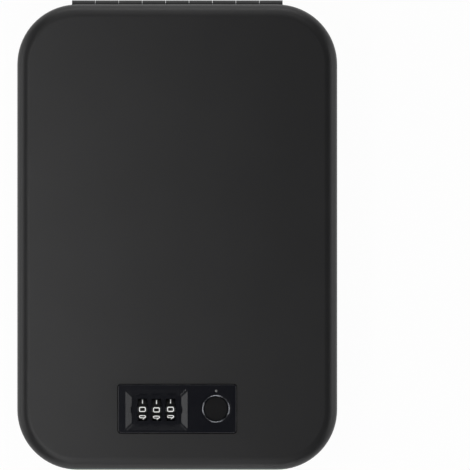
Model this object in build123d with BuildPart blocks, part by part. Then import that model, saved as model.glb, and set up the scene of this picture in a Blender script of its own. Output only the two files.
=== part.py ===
from build123d import *

import os
from math import atan, atan2, cos, degrees, pi, radians, sin, sqrt, tan

os.makedirs("parts", exist_ok=True)

# Travel safe: two shallow steel shells on a piano hinge, locked by a bolt in the lid.
# Millimetres. X runs across the case, +Y points to the hinge and +Z up through the lid.
# The origin is the centre of the flat underside. The lid is shut and the bolt drawn back.

# Case
case_width = 165.0
case_length = 240.0
base_height = 27.0
lid_height = 18.0
corner_radius = 31.0
edge_radius = 6.5
sheet = 1.2

# Strip inside the joint that keeps a blade out
rim_thickness = 1.0
rim_rise = 5.0
rim_band = 6.0
rim_gap = 0.3
rim_end_gap = 1.5

# Piano hinge
knuckle_count = 9
knuckle_pitch = 12.1
knuckle_gap = 0.15
leaf_thickness = 1.1
leaf_height = 11.0
hinge_pin_radius = 1.0
hinge_pin_chamfer = 0.25
hinge_fit = 0.05
hinge_gap = 0.35

# Tether hole
cable_bore_radius = 4.0
bush_wall = 1.0
bush_flange = 1.2
bush_lip = 0.8
bush_bevel = 0.4
bush_fit = 0.05
cable_y = 75.0

# Foam pads
base_pad_thickness = 6.0
lid_pad_thickness = 6.0
pad_inset = 2.5
pad_lock_gap = 1.5

# Lock panel, seen from above
panel_length = 61.0
panel_width = 25.0
panel_corner = 1.4
panel_bevel = 0.3
panel_proud = 1.2
seat_depth = 0.4
seat_gap = 0.4
panel_to_front = 31.5
plug_margin = 1.5
plug_gap = 0.2
panel_plate = 1.6
plug_wall = 1.2
dial_x = -10.66
dial_shift = 0.6
dial_mouth_length = 32.0
dial_mouth_width = 21.0
dial_floor_length = 25.6
dial_floor_width = 15.0
dial_corner = 0.9
dial_depth = 2.0
dial_floor_thickness = 1.8
dial_block_wall = 1.0

# Number wheels and the slotted rings beside them
wheel_count = 3
wheel_pitch = 7.23
wheel_radius = 7.0
wheel_width = 4.4
wheel_edge = 0.3
wheel_show = 0.3
digit_count = 10
groove_radius = 0.9
groove_depth = 0.35
window_width = 5.0
window_gap = 0.35
cheek_radius = 4.3
ring_radius = 4.6
ring_bore_radius = 3.4
ring_web = 1.0
ring_seat_gap = 0.05

# Toothed spindle that the wheels turn on, moved along by the bolt
spindle_radius = 1.6
spindle_fit = 0.05
spindle_end_reach = 0.3
tooth_radius = 3.1
tooth_length = 1.4
tooth_width = 1.4
tooth_gap = 0.25
arm_thickness = 1.5
arm_half_width = 1.8
arm_boss_radius = 2.4
arm_gap = 0.3
arm_pin_radius = 1.0
arm_pin_fit = 0.08

# Spring leaf behind the wheels
leaf_spring_thickness = 0.3
leaf_nose_radius = 0.9
leaf_nose_gap = 0.1
leaf_finger_width = 3.6
leaf_back_height = 1.6
leaf_seat_depth = 0.8
leaf_seat_fit = 0.05
leaf_finger_drop = 1.6

# Round button, its ring and the status light
button_x = 20.0
button_radius = 6.35
button_gap = 0.1
button_rim = 0.35
button_sunk = 0.2
button_travel = 1.2
button_stop_gap = 0.05
button_edge = 0.2
button_wall = 1.1
button_flange_radius = 7.5
button_flange_height = 0.95
button_stem_radius = 2.0
sensor_depth = 0.8
sensor_fit = 0.05
sensor_bevel = 0.15
trim_inner_radius = 6.6
trim_outer_radius = 7.05
trim_depth = 1.0
trim_bevel = 0.15
trim_proud = 0.1
dish_radius = 8.2
dish_depth = 0.08
sleeve_radius = 7.9
light_radius = 0.7
light_bevel = 0.2
light_fit = 0.05
light_offset = (0.1, 9.2)

# Lock housing under the lid
housing_length = 72.0
housing_width = 55.0
housing_height = 15.0
housing_wall = 1.5
housing_corner = 3.0
housing_shift = 10.0
standoff_inset = 4.5
standoff_radius = 2.5
standoff_fit = 0.1
standoff_wall = 1.3
cover_thickness = 1.2
screw_radius = 1.45
screw_head_radius = 2.6
screw_head_fit = 0.05
screw_head_angle = 90.0
screw_reach = 5.0
screw_tap_radius = 1.5
screw_tap_depth = 8.0
screw_slot_width = 0.7
screw_slot_depth = 0.6
clip_length = 5.0
clip_thickness = 1.0
clip_drop = 1.5
clip_catch = 0.6

# Bolt and its slide
bolt_thickness = 2.4
bolt_lift = 0.1
bolt_throw = 5.0
bolt_tongue_width = 24.0
bolt_tongue_reach = 2.0
bolt_tip_bevel = 0.8
bolt_body_left = -22.0
bolt_body_right = 12.6
bolt_tail_left = -12.0
bolt_tail_side = 3.5
bolt_front_gap = 0.5
bolt_step_back = 13.5
bolt_tail_back = 32.5
bolt_side_gap = 0.4
guide_radius = 2.0
guide_fit = 0.1
guide_head_radius = 2.9
guide_head_height = 0.7
guide_spigot_radius = 1.2
guide_offsets = ((-18.4, 4.5), (8.8, 5.5), (-7.0, 24.5))

# Catch on the tray
strike_width = 32.0
strike_thickness = 1.5
strike_bend = 1.5
strike_foot_bottom = 8.0
strike_slot_gap = 0.5
strike_above = 3.0
strike_gap = 2.0

# Rack, pinion and motor
gear_module = 0.5
pinion_teeth = 16
pressure_angle = 20.0
gear_backlash = 0.08
dedendum_factor = 1.25
flank_steps = 4
pinion_width = 4.0
rack_width = 4.6
rack_front_reach = 6.0
rack_back_reach = 9.0
pinion_back = 22.5
shaft_radius = 1.5
shaft_fit = 0.05
shaft_sunk = 3.0
motor_height = 10.0
motor_width = 12.0
motor_box_length = 9.0
motor_can_length = 15.0
motor_box_corner = 0.8
motor_gap = 1.2
motor_end_gap = 2.8
motor_boss_radius = 3.5
motor_boss_height = 0.8

# Circuit board, battery and return spring
board_thickness = 1.0
board_left_reach = 9.9
board_end_gap = 0.5
board_width = 30.0
board_shift = -0.5
board_post_radius = 1.3
board_post_inset = 1.8
board_corner = 0.9
board_stroke_gap = 0.1
switch_size = 4.0
switch_height = 1.2
switch_cap_radius = 1.1
chip_size = (6.0, 6.0, 1.0)
chip_place = (-4.5, -10.0)
plug_size = (7.0, 4.0, 2.2)
plug_place = (1.0, 12.0)
lamp_height = 0.6
battery_length = 28.0
battery_width = 17.5
battery_height = 6.5
battery_corner = 1.2
battery_bevel = 0.8
battery_end_gap = 1.5
battery_shift = 10.2
spring_wire_radius = 0.2
spring_wire_sides = 4
spring_coil_radius = 3.6
spring_turns = 3.5

# Heights and places that follow from the sizes above
lid_top = base_height + lid_height
lid_under = lid_top - sheet
wall_inside_y = case_length / 2 - sheet
cable_z = (edge_radius + base_height - rim_band) / 2
hinge_y = case_length / 2
hinge_z = base_height
knuckle_radius = sheet + leaf_thickness
hinge_length = knuckle_count * knuckle_pitch
panel_y = panel_to_front - case_length / 2
dial_y = panel_y - dial_shift
panel_top = lid_top + panel_proud
plug_length = panel_length - 2 * plug_margin - 2 * plug_gap
plug_width = panel_width - 2 * plug_margin - 2 * plug_gap
dial_floor_z = panel_top - dial_depth
plug_bottom = dial_floor_z - dial_floor_thickness
spindle_z = panel_top + wheel_show - wheel_radius
wheel_places = [dial_x + (i - (wheel_count - 1) / 2) * wheel_pitch for i in range(wheel_count)]
housing_y = panel_y + housing_shift
housing_bottom = lid_under - housing_height
housing_roof = lid_under - housing_wall
housing_front = housing_y - housing_width / 2
cover_bottom = housing_bottom - cover_thickness
bolt_bottom = housing_bottom + bolt_lift
bolt_top = bolt_bottom + bolt_thickness
bolt_tip_y = housing_front - bolt_tongue_reach
bolt_body_front = housing_front + housing_wall + bolt_throw + bolt_front_gap
bolt_step_y = panel_y + bolt_step_back
bolt_tail_y = panel_y + bolt_tail_back
guide_places = [(x, panel_y + y) for x, y in guide_offsets]
strike_face_y = bolt_tip_y - strike_gap
tooth_shift = (ring_web + tooth_length) / 2 + tooth_gap
spindle_travel = 2 * tooth_shift
cheek_thickness = wheel_pitch - window_width
cheek_places = [wheel_places[0] + (i - 0.5) * wheel_pitch for i in range(wheel_count + 1)]
trim_seat_z = panel_top - trim_depth
button_top = panel_top - button_sunk
flange_top = plug_bottom - button_stop_gap
flange_bottom = flange_top - button_flange_height
board_top = flange_bottom - button_travel - switch_height - board_stroke_gap
standoff_boss_radius = standoff_radius + standoff_fit + standoff_wall
board_right = housing_length / 2 - standoff_inset - standoff_boss_radius - board_end_gap
board_length = board_right - button_x + board_left_reach
board_x = board_right - board_length / 2
board_y = panel_y + board_shift
battery_x = (battery_length - housing_length) / 2 + housing_wall + battery_end_gap
battery_y = housing_y + battery_shift
motor_z = housing_roof - motor_height / 2
motor_left = housing_length / 2 - housing_wall - motor_end_gap - motor_can_length - motor_box_length
pinion_x = motor_left - motor_gap - pinion_width / 2
pinion_y = panel_y + pinion_back
rack_front_y = pinion_y - rack_front_reach
rack_back_y = pinion_y + rack_back_reach
pinion_radius = gear_module * pinion_teeth / 2
rack_pitch_z = motor_z - pinion_radius
spindle_start = cheek_places[0] - cheek_thickness / 2 - spindle_end_reach
arm_start = cheek_places[-1] + cheek_thickness / 2 + arm_gap + spindle_travel
arm_pin_x = arm_start + arm_thickness / 2


def outline(inset):
    """Draw the rounded plan of the case, moved in by the inset, into the open sketch."""
    RectangleRounded(case_width - 2 * inset, case_length - 2 * inset, corner_radius - inset)


def span(left, right, front, back, mode=Mode.ADD):
    """Draw a rectangle between its four edges into the open sketch."""
    with Locations(((left + right) / 2, (front + back) / 2)):
        Rectangle(right - left, back - front, mode=mode)


def section(points, x, y, z=0.0):
    """Return a closed profile of (across, up) points, standing at a place and facing the front."""
    stand = Plane(origin=(x, y, z), x_dir=(1, 0, 0), z_dir=(0, -1, 0))
    with BuildSketch(stand) as profile:
        with BuildLine():
            Polyline(*points, close=True)
        make_face()
    return profile.sketch


def upright(x, y):
    """Return the vertical line through a place."""
    return Axis((x, y, 0), (0, 0, 1))


def crosswise(y, z):
    """Return the line along X at a place."""
    return Axis((0, y, z), (1, 0, 0))


# Lower tray, drawn from one sheet, notched for the barrel and holed for the tether
with BuildPart() as base_shell:
    with BuildSketch():
        outline(0)
    extrude(amount=base_height)
    fillet(base_shell.edges().group_by(Axis.Z)[0], edge_radius)
    offset(amount=-sheet, openings=base_shell.faces().sort_by(Axis.Z)[-1])
    with BuildSketch(Plane.XY.offset(hinge_z - knuckle_radius - hinge_gap)):
        with Locations((0, hinge_y)):
            Rectangle(hinge_length + 2 * hinge_gap, 2 * (knuckle_radius + hinge_gap))
    extrude(amount=2 * (knuckle_radius + hinge_gap), mode=Mode.SUBTRACT)
    with BuildSketch(Plane.YZ.offset(case_width / 2 - 2 * sheet)):
        with Locations((cable_y, cable_z)):
            Circle(cable_bore_radius + bush_wall + bush_fit)
    extrude(amount=3 * sheet, mode=Mode.SUBTRACT)
base_shell.part.label = "base_shell"
export_step(base_shell.part, "parts/base_shell.step")

# Lid, the same sheet turned over, with the coined seat and the opening of the lock panel
with BuildPart() as lid_shell:
    with BuildSketch(Plane.XY.offset(base_height)):
        outline(0)
    extrude(amount=lid_height)
    fillet(lid_shell.edges().group_by(Axis.Z)[-1], edge_radius)
    offset(amount=-sheet, openings=lid_shell.faces().sort_by(Axis.Z)[0])
    with BuildSketch(Plane.XY.offset(hinge_z - knuckle_radius - hinge_gap)):
        with Locations((0, hinge_y)):
            Rectangle(hinge_length + 2 * hinge_gap, 2 * (knuckle_radius + hinge_gap))
    extrude(amount=2 * (knuckle_radius + hinge_gap), mode=Mode.SUBTRACT)
    with BuildSketch(Plane.XY.offset(lid_under)):
        with Locations((0, panel_y)):
            Rectangle(plug_length + 2 * plug_gap, plug_width + 2 * plug_gap)
    extrude(amount=sheet, mode=Mode.SUBTRACT)
    with BuildSketch(Plane.XY.offset(lid_top)):
        with Locations((0, panel_y)):
            RectangleRounded(
                panel_length + 2 * seat_gap, panel_width + 2 * seat_gap, panel_corner + seat_gap
            )
    extrude(amount=-seat_depth, mode=Mode.SUBTRACT)
lid_shell.part.label = "lid_shell"
export_step(lid_shell.part, "parts/lid_shell.step")

# Joggled strip, welded inside the tray and standing inside the shut lid
with BuildPart() as base_rim:
    with BuildSketch(Plane.XY.offset(base_height - rim_band)):
        outline(sheet)
    extrude(amount=rim_band)
    with BuildSketch(Plane.XY.offset(base_height)):
        outline(sheet + rim_gap)
    extrude(amount=rim_rise)
    with BuildSketch(Plane.XY.offset(base_height - rim_band)):
        outline(sheet + rim_thickness)
    extrude(amount=rim_band - rim_thickness, mode=Mode.SUBTRACT)
    with BuildSketch(Plane.XY.offset(base_height - rim_thickness)):
        outline(sheet + rim_gap + rim_thickness)
    extrude(amount=rim_rise + rim_thickness, mode=Mode.SUBTRACT)
    with BuildSketch(Plane.XY.offset(base_height - rim_band)):
        with Locations((0, hinge_y)):
            Rectangle(hinge_length + 2 * rim_end_gap, 2 * corner_radius)
    extrude(amount=rim_band + rim_rise, mode=Mode.SUBTRACT)
base_rim.part.label = "base_rim"
export_step(base_rim.part, "parts/base_rim.step")


def hinge_sheet(bottom):
    """Return the flat of a hinge leaf, following the inside of the back wall."""
    with BuildPart() as flat:
        with BuildSketch(Plane.XY.offset(bottom)):
            with Locations((0, hinge_y - knuckle_radius + leaf_thickness / 2)):
                Rectangle(hinge_length, leaf_thickness)
        extrude(amount=leaf_height)
        with BuildSketch(Plane.XY.offset(bottom)):
            outline(sheet)
        extrude(amount=leaf_height, mode=Mode.INTERSECT)
    return flat.part


def barrel(first, radius, length):
    """Return every second stretch of the barrel, from the first knuckle on."""
    with BuildPart() as stretches:
        for i in range(first, knuckle_count, 2):
            middle = (i - (knuckle_count - 1) / 2) * knuckle_pitch
            with BuildSketch(Plane.YZ.offset(middle - length / 2)):
                with Locations((hinge_y, hinge_z)):
                    Circle(radius)
            extrude(amount=length)
    return stretches.part


# The two leaves share the barrel: five knuckles on the lid's leaf, four on the tray's
with BuildPart() as hinge_leaf_lid:
    add(hinge_sheet(hinge_z))
    add(barrel(1, knuckle_radius + hinge_gap, knuckle_pitch + knuckle_gap), mode=Mode.SUBTRACT)
    add(barrel(0, knuckle_radius, knuckle_pitch - knuckle_gap))
    add(barrel(0, hinge_pin_radius + hinge_fit, knuckle_pitch), mode=Mode.SUBTRACT)
hinge_leaf_lid.part.label = "hinge_leaf_lid"
export_step(hinge_leaf_lid.part, "parts/hinge_leaf_lid.step")

with BuildPart() as hinge_leaf_base:
    add(hinge_sheet(hinge_z - leaf_height))
    add(barrel(0, knuckle_radius + hinge_gap, knuckle_pitch + knuckle_gap), mode=Mode.SUBTRACT)
    add(barrel(1, knuckle_radius, knuckle_pitch - knuckle_gap))
    add(barrel(1, hinge_pin_radius + hinge_fit, knuckle_pitch), mode=Mode.SUBTRACT)
hinge_leaf_base.part.label = "hinge_leaf_base"
export_step(hinge_leaf_base.part, "parts/hinge_leaf_base.step")

with BuildPart() as hinge_pin:
    with BuildSketch(Plane.YZ.offset(-hinge_length / 2)):
        with Locations((hinge_y, hinge_z)):
            Circle(hinge_pin_radius)
    extrude(amount=hinge_length)
    chamfer(hinge_pin.edges().filter_by(GeomType.CIRCLE), hinge_pin_chamfer)
hinge_pin.part.label = "hinge_pin"
export_step(hinge_pin.part, "parts/hinge_pin.step")

# Bush of the tether hole: a tube flush with the outer wall, with a flange inside
with BuildPart() as cable_bush:
    bush_inner = case_width / 2 - sheet - bush_flange
    bush_outer_radius = cable_bore_radius + bush_wall
    bush_points = (
        (bush_inner, cable_bore_radius),
        (bush_inner, bush_outer_radius + bush_lip),
        (bush_inner + bush_flange, bush_outer_radius + bush_lip),
        (bush_inner + bush_flange, bush_outer_radius),
        (case_width / 2, bush_outer_radius),
        (case_width / 2, cable_bore_radius),
    )
    revolve(section(bush_points, 0, cable_y, cable_z), axis=crosswise(cable_y, cable_z))
    flange_edges = cable_bush.edges().filter_by(GeomType.CIRCLE).group_by(Axis.X)[0]
    chamfer(flange_edges.sort_by(SortBy.RADIUS)[-1], bush_bevel)
cable_bush.part.label = "cable_bush"
export_step(cable_bush.part, "parts/cable_bush.step")

# Foam pads: bevelled where they lie in the curve of the pressed sheet
with BuildPart() as base_liner:
    with BuildSketch(Plane.XY.offset(sheet)):
        outline(sheet + pad_inset)
    extrude(amount=base_pad_thickness)
    chamfer(base_liner.edges().group_by(Axis.Z)[0], edge_radius - sheet - pad_inset)
base_liner.part.label = "base_liner"
export_step(base_liner.part, "parts/base_liner.step")

with BuildPart() as lid_liner:
    with BuildSketch(Plane.XY.offset(lid_under - lid_pad_thickness)):
        outline(sheet + pad_inset)
    extrude(amount=lid_pad_thickness)
    chamfer(lid_liner.edges().group_by(Axis.Z)[-1], edge_radius - sheet - pad_inset)
    with BuildSketch(Plane.XY.offset(lid_under - lid_pad_thickness)):
        with Locations((0, housing_front)):
            Rectangle(housing_length + 2 * pad_lock_gap, 2 * (housing_width + pad_lock_gap))
    extrude(amount=lid_pad_thickness, mode=Mode.SUBTRACT)
lid_liner.part.label = "lid_liner"
export_step(lid_liner.part, "parts/lid_liner.step")

# Catch: a strip bent twice, its foot on the front wall, with a slot for the bolt
with BuildPart() as strike_bracket:
    foot_y = -wall_inside_y + strike_thickness / 2
    arm_y = strike_face_y - strike_thickness / 2
    shelf_z = base_height - rim_band - strike_thickness
    with BuildSketch(Plane.YZ):
        with BuildLine():
            FilletPolyline(
                (foot_y, strike_foot_bottom),
                (foot_y, shelf_z),
                (arm_y, shelf_z),
                (arm_y, bolt_top + strike_above),
                radius=strike_bend,
            )
        trace(line_width=strike_thickness)
    extrude(amount=strike_width / 2, both=True)
    slot_bottom = bolt_bottom - strike_slot_gap
    slot_height = bolt_thickness + 2 * strike_slot_gap
    with BuildSketch(Plane.XZ.offset(-strike_face_y - strike_thickness)):
        with Locations((0, slot_bottom + slot_height / 2)):
            Rectangle(bolt_tongue_width + 2 * strike_slot_gap, slot_height)
    extrude(amount=3 * strike_thickness, mode=Mode.SUBTRACT)
strike_bracket.part.label = "strike_bracket"
export_step(strike_bracket.part, "parts/strike_bracket.step")

# Lock panel: bevelled plate, dial recess with sloped sides, button well and spindle cheeks
with BuildPart() as lock_bezel:
    with BuildSketch(Plane.XY.offset(panel_top)):
        with Locations((0, panel_y)):
            RectangleRounded(panel_length, panel_width, panel_corner)
    extrude(amount=-(panel_proud + seat_depth))
    chamfer(lock_bezel.edges().group_by(Axis.Z)[-1], panel_bevel)
    with BuildSketch(Plane.XY.offset(plug_bottom)):
        with Locations((0, panel_y)):
            Rectangle(plug_length, plug_width)
    extrude(amount=lid_top - seat_depth - plug_bottom)
    with BuildSketch(Plane.XY.offset(plug_bottom)):
        with Locations((0, panel_y)):
            Rectangle(plug_length - 2 * plug_wall, plug_width - 2 * plug_wall)
        with Locations((dial_x, dial_y)):
            Rectangle(dial_mouth_length + 2 * dial_block_wall, plug_width, mode=Mode.SUBTRACT)
        with Locations((button_x, panel_y)):
            Circle(sleeve_radius, mode=Mode.SUBTRACT)
    extrude(amount=panel_top - panel_plate - plug_bottom, mode=Mode.SUBTRACT)
    with BuildSketch(Plane.XY.offset(dial_floor_z)):
        with Locations((dial_x, dial_y)):
            RectangleRounded(dial_floor_length, dial_floor_width, dial_corner)
    with BuildSketch(Plane.XY.offset(panel_top)):
        with Locations((dial_x, dial_y)):
            RectangleRounded(dial_mouth_length, dial_mouth_width, dial_corner)
    loft(mode=Mode.SUBTRACT)
    for cheek_x in cheek_places:
        with BuildSketch(Plane.YZ.offset(cheek_x - cheek_thickness / 2)):
            with Locations((dial_y, spindle_z)):
                Circle(cheek_radius)
            span(dial_y - cheek_radius, dial_y + cheek_radius, spindle_z, dial_floor_z)
            with Locations((dial_y, dial_floor_z + cheek_radius)):
                Rectangle(4 * cheek_radius, 2 * cheek_radius, mode=Mode.SUBTRACT)
            with Locations((dial_y, spindle_z)):
                Circle(spindle_radius + spindle_fit, mode=Mode.SUBTRACT)
            span(
                dial_y - tooth_width / 2 - tooth_gap,
                dial_y + tooth_width / 2 + tooth_gap,
                spindle_z - tooth_radius - tooth_gap,
                spindle_z,
                Mode.SUBTRACT,
            )
        extrude(amount=cheek_thickness)
    for wheel_x in wheel_places:
        with BuildSketch(Plane.YZ.offset(wheel_x - window_width / 2)):
            with Locations((dial_y, spindle_z)):
                Circle(wheel_radius + window_gap)
        extrude(amount=window_width, mode=Mode.SUBTRACT)
    well_points = (
        (0, panel_top + dish_depth),
        (dish_radius, panel_top + dish_depth),
        (dish_radius, panel_top),
        (trim_outer_radius, panel_top - dish_depth),
        (trim_outer_radius, trim_seat_z),
        (button_radius + button_gap, trim_seat_z),
        (button_radius + button_gap, plug_bottom),
        (0, plug_bottom),
    )
    revolve(section(well_points, button_x, panel_y), axis=upright(button_x, panel_y), mode=Mode.SUBTRACT)
    with BuildSketch(Plane.XY.offset(plug_bottom)):
        with Locations((button_x + light_offset[0], panel_y + light_offset[1])):
            Circle(light_radius + light_fit)
    extrude(amount=panel_top - plug_bottom, mode=Mode.SUBTRACT)
    leaf_y = dial_y + wheel_radius + leaf_nose_gap + leaf_nose_radius
    with BuildSketch(Plane.XY.offset(plug_bottom)):
        with Locations((dial_x, leaf_y + leaf_spring_thickness / 2)):
            Rectangle(
                (wheel_count - 1) * wheel_pitch + leaf_finger_width + 2 * leaf_seat_fit,
                leaf_spring_thickness + 2 * leaf_seat_fit,
            )
    extrude(amount=leaf_seat_depth + leaf_seat_fit, mode=Mode.SUBTRACT)
    clip_x = plug_length / 2 - clip_length
    for side in (-1, 1):
        clip_y = panel_y + side * (plug_width - clip_thickness) / 2
        hook_y = panel_y + side * (plug_width / 2 + clip_catch / 2 - plug_gap / 2)
        with BuildSketch(Plane.XY.offset(plug_bottom - clip_drop)):
            with Locations((-clip_x, clip_y), (clip_x, clip_y)):
                Rectangle(clip_length, clip_thickness)
        extrude(amount=clip_drop)
        with BuildSketch(Plane.XY.offset(plug_bottom - clip_drop)):
            with Locations((-clip_x, hook_y), (clip_x, hook_y)):
                Rectangle(clip_length, clip_catch + plug_gap)
        extrude(amount=clip_drop - plug_gap - (plug_bottom - housing_roof))
lock_bezel.part.label = "lock_bezel"
export_step(lock_bezel.part, "parts/lock_bezel.step")


# Number wheels: ten finger grooves between the ten places of the digits
def number_wheel(wheel_x):
    """Return one number wheel, bored for its gate ring."""
    half = wheel_width / 2
    bore = ring_radius + ring_seat_gap
    groove_centre = wheel_radius - groove_depth + groove_radius
    points = (
        (-half, bore),
        (-half, wheel_radius - wheel_edge),
        (-half + wheel_edge, wheel_radius),
        (half - wheel_edge, wheel_radius),
        (half, wheel_radius - wheel_edge),
        (half, bore),
    )
    with BuildPart() as wheel:
        revolve(section(points, wheel_x, dial_y, spindle_z), axis=crosswise(dial_y, spindle_z))
        with BuildSketch(Plane.YZ.offset(wheel_x - half)):
            with Locations((dial_y, spindle_z)):
                with PolarLocations(groove_centre, digit_count, start_angle=180 / digit_count + 90):
                    Circle(groove_radius)
        extrude(amount=wheel_width, mode=Mode.SUBTRACT)
    return wheel.part


# Gate rings: each has a web across its bore, with one gate that a spindle tooth can pass
def gate_ring(wheel_x):
    """Return the ring inside one wheel, with its gate downwards."""
    half = wheel_width / 2
    bore = spindle_radius + spindle_fit
    points = (
        (-half, ring_bore_radius),
        (-half, ring_radius),
        (half, ring_radius),
        (half, ring_bore_radius),
        (ring_web / 2, ring_bore_radius),
        (ring_web / 2, bore),
        (-ring_web / 2, bore),
        (-ring_web / 2, ring_bore_radius),
    )
    with BuildPart() as ring:
        revolve(section(points, wheel_x, dial_y, spindle_z), axis=crosswise(dial_y, spindle_z))
        with BuildSketch(Plane.YZ.offset(wheel_x - ring_web / 2)):
            span(
                dial_y - tooth_width / 2 - tooth_gap,
                dial_y + tooth_width / 2 + tooth_gap,
                spindle_z - ring_bore_radius,
                spindle_z,
            )
        extrude(amount=ring_web, mode=Mode.SUBTRACT)
    return ring.part


for number, place in enumerate(wheel_places, start=1):
    wheel = number_wheel(place)
    wheel.label = f"number_wheel_{number}"
    export_step(wheel, f"parts/number_wheel_{number}.step")
    ring = gate_ring(place)
    ring.label = f"gate_ring_{number}"
    export_step(ring, f"parts/gate_ring_{number}.step")

# Toothed spindle: a tooth in each ring, and an arm whose pin runs in the bolt's slanted slot
with BuildPart() as code_spindle:
    with BuildSketch(Plane.YZ.offset(spindle_start)):
        with Locations((dial_y, spindle_z)):
            Circle(spindle_radius)
    extrude(amount=arm_start + arm_thickness - spindle_start)
    for wheel_x in wheel_places:
        with BuildSketch(Plane.YZ.offset(wheel_x + tooth_shift - tooth_length / 2)):
            span(
                dial_y - tooth_width / 2,
                dial_y + tooth_width / 2,
                spindle_z - tooth_radius,
                spindle_z,
            )
        extrude(amount=tooth_length)
    with BuildSketch(Plane.YZ.offset(arm_start)):
        with Locations((dial_y, spindle_z)):
            Circle(arm_boss_radius)
        span(dial_y - arm_half_width, dial_y + arm_half_width, bolt_top + arm_gap, spindle_z)
    extrude(amount=arm_thickness)
    with BuildSketch(Plane.XY.offset(bolt_bottom + arm_gap)):
        with Locations((arm_pin_x, dial_y)):
            Circle(arm_pin_radius)
    extrude(amount=bolt_thickness + arm_gap)
code_spindle.part.label = "code_spindle"
export_step(code_spindle.part, "parts/code_spindle.step")

# Leaf spring: a strip in the panel's slot with one round-nosed finger behind each wheel
with BuildPart() as detent_spring:
    leaf_length = (wheel_count - 1) * wheel_pitch + leaf_finger_width
    with BuildSketch(Plane.XZ.offset(-leaf_y)):
        with Locations((dial_x, plug_bottom + leaf_seat_depth - leaf_back_height / 2)):
            Rectangle(leaf_length, leaf_back_height)
        for wheel_x in wheel_places:
            finger_top = plug_bottom + leaf_seat_depth - leaf_back_height
            finger_bottom = spindle_z - leaf_finger_drop
            with Locations((wheel_x, (finger_top + finger_bottom) / 2)):
                Rectangle(leaf_finger_width, finger_top - finger_bottom)
    extrude(amount=-leaf_spring_thickness)
    for wheel_x in wheel_places:
        with BuildSketch(Plane.YZ.offset(wheel_x - leaf_finger_width / 2)):
            with Locations((leaf_y, spindle_z)):
                Circle(leaf_nose_radius)
                Circle(leaf_nose_radius - leaf_spring_thickness, mode=Mode.SUBTRACT)
                with Locations((leaf_nose_radius, 0)):
                    Rectangle(2 * leaf_nose_radius, 3 * leaf_nose_radius, mode=Mode.SUBTRACT)
        extrude(amount=leaf_finger_width)
detent_spring.part.label = "detent_spring"
export_step(detent_spring.part, "parts/detent_spring.step")

# Round button: a cap with a skirt, a stop flange and a stem, and the seat of its flat face
with BuildPart() as release_button:
    ceiling = button_top - sensor_depth - button_wall
    button_points = (
        (0, button_top - sensor_depth),
        (button_radius - button_rim, button_top - sensor_depth),
        (button_radius - button_rim, button_top),
        (button_radius - button_edge, button_top),
        (button_radius, button_top - button_edge),
        (button_radius, flange_top),
        (button_flange_radius, flange_top),
        (button_flange_radius, flange_bottom),
        (button_radius - button_wall, flange_bottom),
        (button_radius - button_wall, ceiling),
        (button_stem_radius, ceiling),
        (button_stem_radius, flange_bottom),
        (0, flange_bottom),
    )
    revolve(section(button_points, button_x, panel_y), axis=upright(button_x, panel_y))
release_button.part.label = "release_button"
export_step(release_button.part, "parts/release_button.step")

with BuildPart() as finger_sensor:
    with BuildSketch(Plane.XY.offset(button_top - sensor_depth)):
        with Locations((button_x, panel_y)):
            Circle(button_radius - button_rim - sensor_fit)
    extrude(amount=sensor_depth - sensor_fit)
    chamfer(finger_sensor.edges().group_by(Axis.Z)[-1], sensor_bevel)
finger_sensor.part.label = "finger_sensor"
export_step(finger_sensor.part, "parts/finger_sensor.step")

with BuildPart() as button_ring:
    with BuildSketch(Plane.XY.offset(trim_seat_z)):
        with Locations((button_x, panel_y)):
            Circle(trim_outer_radius)
            Circle(trim_inner_radius, mode=Mode.SUBTRACT)
    extrude(amount=trim_depth + trim_proud)
    chamfer(button_ring.edges().group_by(Axis.Z)[-1], trim_bevel)
button_ring.part.label = "button_ring"
export_step(button_ring.part, "parts/button_ring.step")

# Light pipe of the status light, from the lamp on the board to the panel's face
with BuildPart() as led_lens:
    with BuildSketch(Plane.XY.offset(board_top + lamp_height)):
        with Locations((button_x + light_offset[0], panel_y + light_offset[1])):
            Circle(light_radius)
    extrude(amount=panel_top - board_top - lamp_height)
    chamfer(led_lens.edges().group_by(Axis.Z)[-1], light_bevel)
led_lens.part.label = "led_lens"
export_step(led_lens.part, "parts/led_lens.step")

# Lock housing: a box open below, hung from four standoffs under the lid
with BuildPart() as lock_case:
    with BuildSketch(Plane.XY.offset(housing_bottom)):
        with Locations((0, housing_y)):
            RectangleRounded(housing_length, housing_width, housing_corner)
    extrude(amount=housing_height)
    offset(amount=-housing_wall, openings=lock_case.faces().sort_by(Axis.Z)[0])
    standoff_grid = (housing_length - 2 * standoff_inset, housing_width - 2 * standoff_inset)
    post_grid = (board_length - 2 * board_post_inset, board_width - 2 * board_post_inset)
    with BuildSketch(Plane.XY.offset(housing_bottom)):
        with Locations((0, housing_y)):
            with GridLocations(*standoff_grid, 2, 2):
                Circle(standoff_boss_radius)
    extrude(amount=housing_height)
    with BuildSketch(Plane.XY.offset(housing_bottom)):
        with Locations((0, housing_y)):
            with GridLocations(*standoff_grid, 2, 2):
                Circle(standoff_radius + standoff_fit)
        with Locations((0, panel_y)):
            Rectangle(plug_length + 2 * plug_gap, plug_width + 2 * plug_gap)
    extrude(amount=housing_height, mode=Mode.SUBTRACT)
    with BuildSketch(Plane.XY.offset(board_top)):
        with Locations((board_x, board_y)):
            with GridLocations(*post_grid, 2, 2):
                Circle(board_post_radius)
    extrude(amount=housing_roof - board_top)
    with BuildSketch(Plane.XZ.offset(-housing_front - 2 * housing_wall)):
        with Locations((0, (housing_bottom + bolt_top + bolt_side_gap) / 2)):
            Rectangle(
                bolt_tongue_width + 2 * bolt_side_gap,
                bolt_top + bolt_side_gap - housing_bottom,
            )
    extrude(amount=3 * housing_wall, mode=Mode.SUBTRACT)
lock_case.part.label = "lock_case"
export_step(lock_case.part, "parts/lock_case.step")

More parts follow.
